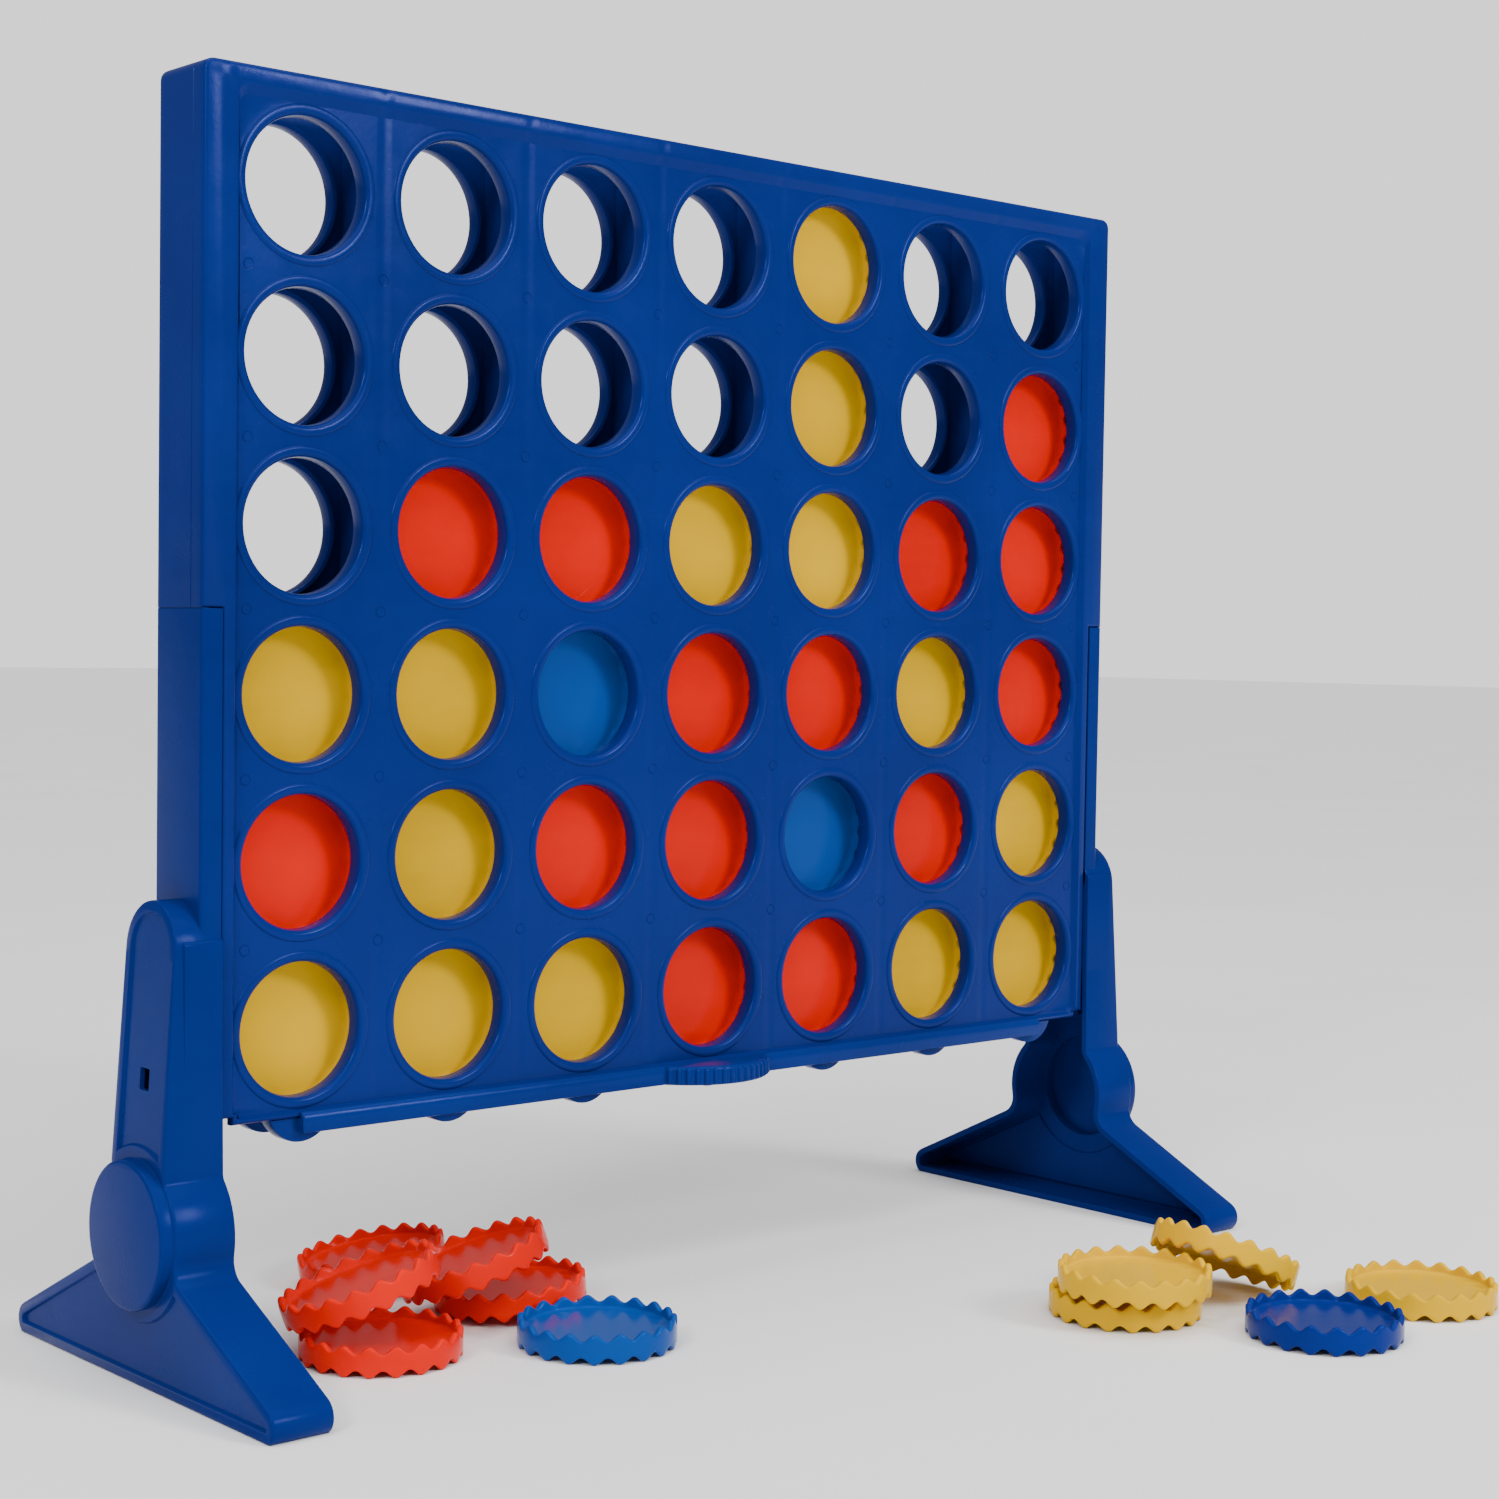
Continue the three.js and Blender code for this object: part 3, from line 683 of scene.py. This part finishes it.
def foot_half(inside):
    """Half of the foot's outline in Y and Z, a distance inside its surface."""
    tip_r = TIP_R - inside
    tip_y = FOOT_HALF - TIP_R
    low = math.asin((inside - TIP_Z) / tip_r)
    tip = arc(tip_y, TIP_Z, tip_r, low, math.pi / 2 - SLOPE, 8)
    up_slope = (-math.cos(SLOPE), math.sin(SLOPE))
    out_slope = (math.sin(SLOPE), math.cos(SLOPE))
    hub_r = HUB_R - inside
    toe_r = 10.0 + inside
    toe, _ = touch(tip[-1], up_slope, out_slope, hub_r, toe_r)
    lean = math.atan2(ARM_LOW_HALF - ARM_TOP_HALF, ARM_TOP - ARM_TOP_HALF - 90)
    arm_r = 5.0 + inside
    down_arm = (math.sin(lean), -math.cos(lean))
    out_arm = (math.cos(lean), math.sin(lean))
    arm_top = (ARM_TOP_HALF - inside, ARM_TOP - ARM_TOP_HALF)
    neck, _ = touch(arm_top, down_arm, out_arm, hub_r, arm_r)
    toe_line = math.atan2(-out_slope[1], -out_slope[0])
    toe_hub = math.atan2(HUB_Z - toe.y, -toe.x)
    neck_hub = math.atan2(HUB_Z - neck.y, -neck.x)
    neck_line = math.atan2(-out_arm[1], -out_arm[0])
    points = list(tip)
    points += short_arc(toe, toe_r, toe_line, toe_hub, 8)
    points += short_arc(HUB, hub_r, toe_hub + math.pi, neck_hub + math.pi, 20)[1:-1]
    points += short_arc(neck, arm_r, neck_hub, neck_line, 6)
    points += arc(0, ARM_TOP - ARM_TOP_HALF, ARM_TOP_HALF - inside, 0, math.pi / 2, 12)
    return points


def both_halves(half):
    return half + [(-y, z) for y, z in reversed(half[:-1])]


def foot_outline(inside):
    return both_halves(foot_half(inside))


def meet(point, along, radius):
    """First place where a line from a point meets a circle round the hub."""
    start, step = Vector(point) - HUB, Vector(along)
    b = start.dot(step)
    c = start.dot(start) - radius ** 2
    return start + step * (-b - math.sqrt(b * b - c)) + HUB


def toe_field(inside, radius):
    """The recessed field of the two toes, under the ring round the hub."""
    tip_r = TIP_R - inside
    low = math.asin((inside - TIP_Z) / tip_r)
    tip = arc(FOOT_HALF - TIP_R, TIP_Z, tip_r, low, math.pi / 2 - SLOPE, 8)
    corner = meet(tip[-1], (-math.cos(SLOPE), math.sin(SLOPE)), radius)
    start = math.atan2(corner.y - HUB_Z, corner.x)
    sweep = arc(0, HUB_Z, radius, start, -math.pi - start, 24)
    return tip + sweep + [(-y, z) for y, z in reversed(tip)]


def arm_field(inside, radius):
    """The recessed field of the arm, above the ring round the hub."""
    half = ARM_TOP_HALF - inside
    top = ARM_TOP - ARM_TOP_HALF
    corner = meet((half, top), (0.019, -1.0), radius)
    arch = arc(0, top, half, 0, math.pi, 20)
    start = math.atan2(corner.y - HUB_Z, -corner.x)
    ring = arc(0, HUB_Z, radius, start, math.pi - start, 12)
    return arch + ring


def lean_arm(bm):
    """Leans the arm's outer face in towards its top."""
    for z in (LEAN_FROM, 150.0, 185.0):
        everything = list(bm.verts) + list(bm.edges) + list(bm.faces)
        bmesh.ops.bisect_plane(bm, geom=everything, plane_co=(0, 0, z), plane_no=(0, 0, 1), dist=1e-4)
    depth = LEG_FACE - LEG_IN
    for vert in bm.verts:
        rise = min(max((vert.co.z - LEAN_FROM) / (ARM_TOP - LEAN_FROM), 0.0), 1.0)
        vert.co.x = LEG_IN + (vert.co.x - LEG_IN) * (1 - rise * LEAN / depth)


def make_foot(side):
    skin = Skin()

    def lay(points, x):
        return [(x, MID_Y + y, z) for y, z in points]

    face = LEG_FACE
    shell = [(0.5, LEG_IN), (0.12, LEG_IN + 0.15), (0.0, LEG_IN + 0.5), (0.0, face - 1.4),
             (0.12, face - 0.8), (0.45, face - 0.3), (1.0, face)]
    rim, face_edge = skin.stack([lay(foot_outline(e), x) for e, x in shell])
    floor_x = face - WALL - 0.5
    inner = [(WALL - 0.4, LEG_IN), (WALL, LEG_IN + 0.4), (WALL + 0.3, floor_x - 1.0), (WALL + 1.0, floor_x)]
    mouth, floor_edge = skin.stack([lay(foot_outline(e), x) for e, x in inner])
    skin.fill(rim, [mouth])
    fields = []
    floors = []
    field_rows = [(4.8, 37.8, 0.0), (5.1, 38.1, 0.35), (5.5, 38.5, 1.2), (5.8, 38.8, 1.5)]
    for field in (toe_field, arm_field):
        top, low = skin.stack([lay(field(e, r), face - back) for e, r, back in field_rows])
        fields.append(top)
        floors.append(low)
    hub_rows = [(-0.5, 0.0), (-0.1, 0.4), (0.0, 4.6), (0.3, 5.4), (0.9, 5.85), (1.7, 6.0)]
    hub_foot, hub_top = skin.stack([lay(circle(0, HUB_Z, HUB_DISC_R - e), face + out) for e, out in hub_rows])
    skin.fill(hub_top)
    skin.fill(face_edge, [*fields, hub_foot])
    skin.fill(floors[0])
    slot = rounded_rect(-4, 4, 128, 137.6, 0.8, 3)
    slot_out, slot_in = skin.stack([lay(slot, face - 1.5), lay(slot, floor_x)], smooth=False)
    skin.fill(floors[1], [slot_out])
    well_rows = [(29.5, floor_x), (29.1, floor_x + 0.6), (29.0, face + 2.2)]
    well_top, well_end = skin.stack([lay(circle(0, HUB_Z, r), x) for r, x in well_rows])
    skin.fill(well_end)
    pad_rows = [(2.2, 39.4, 0.0), (2.4, 39.6, 0.9), (2.9, 40.1, 1.3)]
    pad_foot, pad_top = skin.stack([lay(toe_field(WALL + e, r), floor_x - out) for e, r, out in pad_rows])
    skin.fill(pad_top)
    skin.fill(floor_edge, [slot_in, well_top, pad_foot])
    foot = skin.make("foot", bend=lean_arm)
    join([foot, make_post(), make_shoulder()], "foot")
    if side < 0:
        foot.data.transform(Matrix.Scale(-1, 4, (1, 0, 0)))
        foot.data.flip_normals()
    return foot


def make_post():
    """The channel-shaped post that takes the end of the board."""
    skin = Skin()
    quarter = math.pi / 2
    edge, half, wall, r = BOARD_HALF, HALF_DEPTH, 3.0, 2.0
    outer = [(LEG_IN, -half), *arc(edge - r, -half + r, r, -quarter, 0, 6)]
    outer += [*arc(edge - r, half - r, r, 0, quarter, 6), (LEG_IN, half)]
    inner = [(LEG_IN, half - wall), (edge - wall, half - wall)]
    inner += [(edge - wall, wall - half), (LEG_IN, wall - half)]
    shape = outer + inner
    rows = [(0.0, ARM_TOP - 22), (0.0, SHOULDER - 0.35), (0.3, SHOULDER)]
    loops = []
    for e, z in rows:
        points = offset(shape, e) if e else shape
        loops.append([(x, MID_Y + y, z) for x, y in points])
    low, high = skin.stack(loops)
    skin.fill(low)
    skin.fill(high)
    return skin.make("post")


def make_shoulder():
    """The square shoulder at the top of the arm, round the front and back of the post."""
    skin = Skin()
    half, far = HALF_DEPTH + 2.6, LEG_FACE - 9.5
    corner = 1.6
    for side in (-1, 1):
        base = [(LEG_IN + 0.05, side * (HALF_DEPTH - 2.5)), (far, side * (HALF_DEPTH - 2.5))]
        base += [(far, side * (half - corner)), (far - corner / 2, side * half)]
        base += [(LEG_IN + 0.4, side * half), (LEG_IN + 0.05, side * (half - 0.4))]
        rows = [(0.0, 138.0), (0.0, 191.6)]
        rows += [(2.2 * (1 - math.cos(a)), 191.6 + 2.2 * math.sin(a)) for a in (0.4, 0.8, 1.2, math.pi / 2)]
        loops = []
        for shrink, z in rows:
            limit = half - shrink
            loops.append([(x, MID_Y + math.copysign(min(abs(y), limit), y), z) for x, y in base])
        low, top = skin.stack(loops)
        skin.fill(low)
        skin.fill(top)
    return skin.make("shoulder")


def join(objects, name):
    """Puts several meshes into the first object's mesh."""
    bm = bmesh.new()
    for obj in objects:
        bm.from_mesh(obj.data)
    bm.to_mesh(objects[0].data)
    bm.free()
    for obj in objects[1:]:
        bpy.data.objects.remove(obj)
    objects[0].name = name
    objects[0].data.name = name
    return objects[0]


# ---- release slider ----
RAIL_HALF = slider_high.x - 14.0
RAIL_LOW, RAIL_TOP = 105.0, slider_high.z
RAIL_OUT = HALF_DEPTH + 3.5
GRIP_HALF, GRIP_REACH = 34.0, 18.0
RIB_STEPS = 12


def rail_profile(side):
    top_y, top_z = 2.6, 4.2
    points = [(HALF_DEPTH + 0.3, RAIL_LOW), (RAIL_OUT - 0.6, RAIL_LOW), (RAIL_OUT - 0.15, RAIL_LOW + 0.2),
              (RAIL_OUT, RAIL_LOW + 0.7)]
    for k in range(7):
        a = math.pi / 2 * k / 6
        points.append((RAIL_OUT - top_y + top_y * math.cos(a), RAIL_TOP - top_z + top_z * math.sin(a)))
    points.append((HALF_DEPTH + 0.3, RAIL_TOP))
    return [(MID_Y + side * y, z) for y, z in points]


def add_rail(skin, side):
    shape = rail_profile(side)
    mid_y = MID_Y + side * (HALF_DEPTH + 1.8)
    mid_z = (RAIL_LOW + RAIL_TOP) / 2

    def row(x, shrink):
        wide, tall = 1 - shrink, 1 - shrink / 2.5
        return [(x, mid_y + (y - mid_y) * wide, mid_z + (z - mid_z) * tall) for y, z in shape]

    rows = [(-RAIL_HALF, 0.25), (-RAIL_HALF + 0.3, 0.06), (-RAIL_HALF + 0.8, 0.0),
            (RAIL_HALF - 0.8, 0.0), (RAIL_HALF - 0.3, 0.06), (RAIL_HALF, 0.25)]
    start, end = skin.stack([row(x, s) for x, s in rows])
    skin.fill(start)
    skin.fill(end)
    y0, y1 = sorted((MID_Y + side * (HALF_DEPTH - 1.5), MID_Y + side * (HALF_DEPTH + 0.6)))
    skin.block((-RAIL_HALF + 0.2, y0, RAIL_LOW + 0.1), (RAIL_HALF - 0.2, y1, BOARD_LOW - 0.3))


def add_boss(skin, x, side):
    """A half-round guide block that hangs under the panel."""
    radius, low = 17.0, slider_low.z
    centre = low + radius
    top = BOARD_LOW - 0.3
    half = math.acos((centre - top) / radius)

    def row(r, depth):
        points = arc(x, centre, r, -math.pi / 2 - half, -math.pi / 2 + half, 24)
        flat = [(px, top if k in (0, 24) else pz) for k, (px, pz) in enumerate(points)]
        return [(px, MID_Y + side * depth, pz) for px, pz in flat]

    start, end = skin.stack([row(radius - 0.8, 9.6), row(radius - 0.2, 9.85), row(radius, 10.5),
                             row(radius, 17.2), row(radius - 0.2, 17.85), row(radius - 0.8, 18.1)])
    skin.fill(start)
    skin.fill(end)


def add_bar(skin, x):
    reach = HALF_DEPTH + 1.0
    skin.block((x - 2, MID_Y - reach, RAIL_LOW + 0.1), (x + 2, MID_Y + reach, BOARD_LOW - 0.35))
    skin.block((x - 2, MID_Y - 8.5, RAIL_LOW + 0.3), (x + 2, MID_Y + 8.5, BOARD_LOW + 1.4))


def add_grip(skin):
    """The half-round finger grip, with a softened upper edge and hollow below."""
    reach = GRIP_REACH - 1.0
    radius = (GRIP_HALF ** 2 + reach ** 2) / (2 * reach)
    centre_y = MID_Y - RAIL_OUT - reach + radius
    half = math.asin(GRIP_HALF / radius)

    def row(r, z):
        points = arc(0, centre_y, r, -math.pi / 2 - half, -math.pi / 2 + half, 48)
        limit = MID_Y - RAIL_OUT + 1.0
        return [(x, min(y, limit), z) for x, y in [(points[0][0], limit), *points, (points[-1][0], limit)]]

    rows = [(3.2, RAIL_TOP - 3.0), (3.0, RAIL_LOW + 0.3), (2.7, RAIL_LOW), (0.4, RAIL_LOW),
            (0.0, RAIL_LOW + 0.4), (0.0, RAIL_TOP - 2.2), (0.25, RAIL_TOP - 1.1),
            (0.9, RAIL_TOP - 0.35), (1.9, RAIL_TOP)]
    under, top = skin.stack([row(radius - e, z) for e, z in rows])
    skin.fill(under)
    skin.fill(top)
    return centre_y, radius, half


def make_rib():
    """One upright half-round rib of the grip; +X faces outwards."""
    skin = Skin()
    r, low, high = 1.35, RAIL_LOW + 0.5, RAIL_TOP - 0.8

    def row(scale, z):
        return [(x, y, z) for x, y in circle(0, 0, r * scale, RIB_STEPS)]

    start, end = skin.stack([row(0.5, low), row(0.85, low + 0.25), row(1, low + 0.8), row(1, high - 1.6),
                             row(0.8, high - 0.6), row(0.4, high)])
    skin.fill(start)
    skin.fill(end)
    return skin.make("grip_rib")


def make_slider():
    skin = Skin()
    for side in (-1, 1):
        add_rail(skin, side)
        for i in range(COLUMNS):
            add_boss(skin, column_x(i), side)
    for i in range(COLUMNS):
        add_bar(skin, column_x(i))
    centre_y, radius, half = add_grip(skin)
    slider = skin.make("release_slider_moulding", weld=1e-5)
    rib = make_rib()
    margin = math.radians(2.6)
    ridge_tree().put_on(
        slider, Rib=rib, Material=BLUE_SLIDER.material, Radius=radius - 0.36,
        Start=-math.pi / 2 - half + margin, Sweep=2 * half - 2 * margin, Count=17,
        Middle=(0.0, centre_y, 0.0),
    )
    bpy.data.objects.remove(rib)
    return slider


# ---- discs ----
def make_disc_mesh():
    """A turned rim with a thin web, then waved along both edges; its axis is Z."""
    upper = [
        (10.0, WEB_HALF), (22.0, WEB_HALF), (31.0, WEB_HALF),
        (32.8, 1.5), (33.6, 2.2), (33.85, 3.4), (34.0, 5.6),
        (34.2, 6.35), (34.65, 6.82), (35.4, 7.0), (36.2, 6.86), (36.75, 6.4), (36.97, 5.6), (37.0, 3.6),
    ]
    profile = upper + [(37.0, 0.0)] + [(r, -h) for r, h in reversed(upper)]
    steps = WAVES * WAVE_STEPS
    skin = Skin()

    rows = [[(x, y, h) for x, y in circle(0, 0, r, steps)] for r, h in profile]
    start, end = skin.stack(rows)
    for ring, height in ((start, WEB_HALF), (end, -WEB_HALF)):
        pole = skin.loop([(0, 0, height)])[0]
        for k in range(steps):
            skin.face((ring[k], ring[(k + 1) % steps], pole), True)
    disc = skin.make("disc_blank")
    wave_tree().put_on(
        disc, Material=RED_DISC.material, Waves=float(WAVES), Depth=WAVE_DEPTH,
        Half=DISC_T / 2, Rim=WAVED_FROM, Calm=CALM_HALF,
    )
    mesh = disc.data
    bpy.data.objects.remove(disc)
    return mesh


def node_frame(node):
    """Centre and axis of a packed disc, from its own points, in millimetres."""
    points = np.unique(np.round([v.co[:] for v in nodes[node].data.vertices], 7), axis=0)
    low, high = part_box(node)
    centre = np.array((low + high) / 2)
    _, vectors = np.linalg.eigh(np.cov((points - centre).T))
    axis = Vector(vectors[:, 0])
    if axis.z < 0 or (abs(axis.z) < 1e-6 and axis.y > 0):
        axis.negate()
    return Vector(centre) / MM, axis


def place_discs():
    blank = make_disc_mesh()
    draw = random.Random(7)
    names = sorted(n for n in nodes if n.startswith(("disc_column", "loose_disc")))
    for node in names:
        colour = next(c for c in DISC_FINISH if c in node)
        centre, axis = node_frame(node)
        spin = Matrix.Rotation(draw.uniform(0, 2 * math.pi / WAVES), 4, "Z")
        turn = axis.to_track_quat("Z", "Y").to_matrix().to_4x4()
        mesh = blank.copy()
        mesh.transform(Matrix.Translation(centre) @ turn @ spin)
        obj = bpy.data.objects.new("waved_" + node, mesh)
        bpy.context.scene.collection.objects.link(obj)
        body = nodes[node]["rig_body"]
        finish = NAVY_DISC if node == DARKER_DISC else DISC_FINISH[colour]
        finish_piece(obj, finish.material, body, [node])


# ---- building ----
def build_board():
    windows = window_tree()
    front = make_panel("front_panel_moulding", -1, -PARTING + 0.12, windows)
    finish_piece(front, BLUE_FRAME.material, "board", ["front_panel"])
    rear = make_panel("rear_panel_moulding", 1, PARTING + 0.12, windows)
    finish_piece(rear, BLUE_FRAME.material, "board", ["rear_panel"])
    for side, word in ((-1, "left"), (1, "right")):
        wall = make_end_wall(side)
        wall.name = wall.data.name = word + "_side_wall"
        finish_piece(wall, BLUE_FRAME.material, "board", [word + "_end_wall"])
        foot = make_foot(side)
        foot.name = foot.data.name = word + "_foot_moulding"
        finish_piece(foot, BLUE_FOOT.material, "board", [word + "_foot"])
    for i in range(1, COLUMNS):
        divider = nodes[f"column_divider_{i}"]
        divider.data.materials.clear()
        divider.data.materials.append(BLUE_FRAME.material)
    slider = make_slider()
    finish_piece(slider, BLUE_SLIDER.material, "release_slider", ["release_slider"])


# ---- stage ----
def make_stage():
    mesh = bpy.data.meshes.new("floor")
    mesh.from_pydata([(-20, -20, 0), (20, -20, 0), (20, 20, 0), (-20, 20, 0)], [], [(0, 1, 2, 3)])
    floor = bpy.data.objects.new("floor", mesh)
    bpy.context.scene.collection.objects.link(floor)
    f = Finish("pale_floor")
    tone = f.ramp(f.noise(3.0, 2.0), [(0.3, (0.88, 0.88, 0.88, 1)), (0.7, (0.91, 0.91, 0.91, 1))])
    f.links.new(tone, f.shader.inputs["Base Color"])
    f.shader.inputs["Roughness"].default_value = 0.9
    mesh.materials.append(f.material)
    world = bpy.data.worlds.new("studio")
    world.use_nodes = True
    soft = world.node_tree.nodes["Background"]
    soft.inputs["Color"].default_value = (1, 1, 1, 1)
    ray = world.node_tree.nodes.new("ShaderNodeLightPath").outputs["Is Camera Ray"]
    level = world.node_tree.nodes.new("ShaderNodeMapRange")
    level.inputs["To Min"].default_value = 0.30
    level.inputs["To Max"].default_value = 1.35
    world.node_tree.links.new(ray, level.inputs["Value"])
    world.node_tree.links.new(level.outputs["Result"], soft.inputs["Strength"])
    bpy.context.scene.world = world


def add_light(name, place, aim, size, power):
    data = bpy.data.lights.new(name, "AREA")
    data.shape = "DISK"
    data.size = size
    data.energy = power
    lamp = bpy.data.objects.new(name, data)
    lamp.location = place
    lamp.rotation_euler = (Vector(aim) - Vector(place)).to_track_quat("-Z", "Y").to_euler()
    bpy.context.scene.collection.objects.link(lamp)


def add_sky_light(name, place, aim, strength, spread):
    """An even soft light from above, the same over the whole floor."""
    data = bpy.data.lights.new(name, "SUN")
    data.energy = strength
    data.angle = spread
    lamp = bpy.data.objects.new(name, data)
    lamp.rotation_euler = (Vector(aim) - Vector(place)).to_track_quat("-Z", "Y").to_euler()
    bpy.context.scene.collection.objects.link(lamp)


def make_camera():
    data = bpy.data.cameras.new("camera")
    data.lens = 61.66
    data.sensor_width = 36
    data.clip_start = 0.05
    data.clip_end = 50
    camera = bpy.data.objects.new("camera", data)
    yaw, pitch, roll = math.radians(41.66), math.radians(-2.42), math.radians(0.857)
    ahead = Vector((math.sin(yaw) * math.cos(pitch), math.cos(yaw) * math.cos(pitch), math.sin(pitch)))
    level = Vector((math.cos(yaw), -math.sin(yaw), 0))
    upright = level.cross(ahead)
    right = level * math.cos(roll) + upright * math.sin(roll)
    up = upright * math.cos(roll) - level * math.sin(roll)
    place = Vector((-845.6, MID_Y - 994.5, 325.6)) * MM
    camera.matrix_world = Matrix((
        (right.x, up.x, -ahead.x, place.x),
        (right.y, up.y, -ahead.y, place.y),
        (right.z, up.z, -ahead.z, place.z),
        (0, 0, 0, 1),
    ))
    bpy.context.scene.collection.objects.link(camera)
    bpy.context.scene.camera = camera


build_board()
place_discs()
make_stage()
middle = (0, MID_Y * MM, 0.25)
add_light("key", (0.9, -2.4, 1.5), middle, 0.8, 54)
add_light("side", (-2.3, -0.9, 1.6), middle, 0.5, 26)
add_sky_light("sky", (-0.45, -0.6, 2.6), middle, 3.2, 1.4)
make_camera()
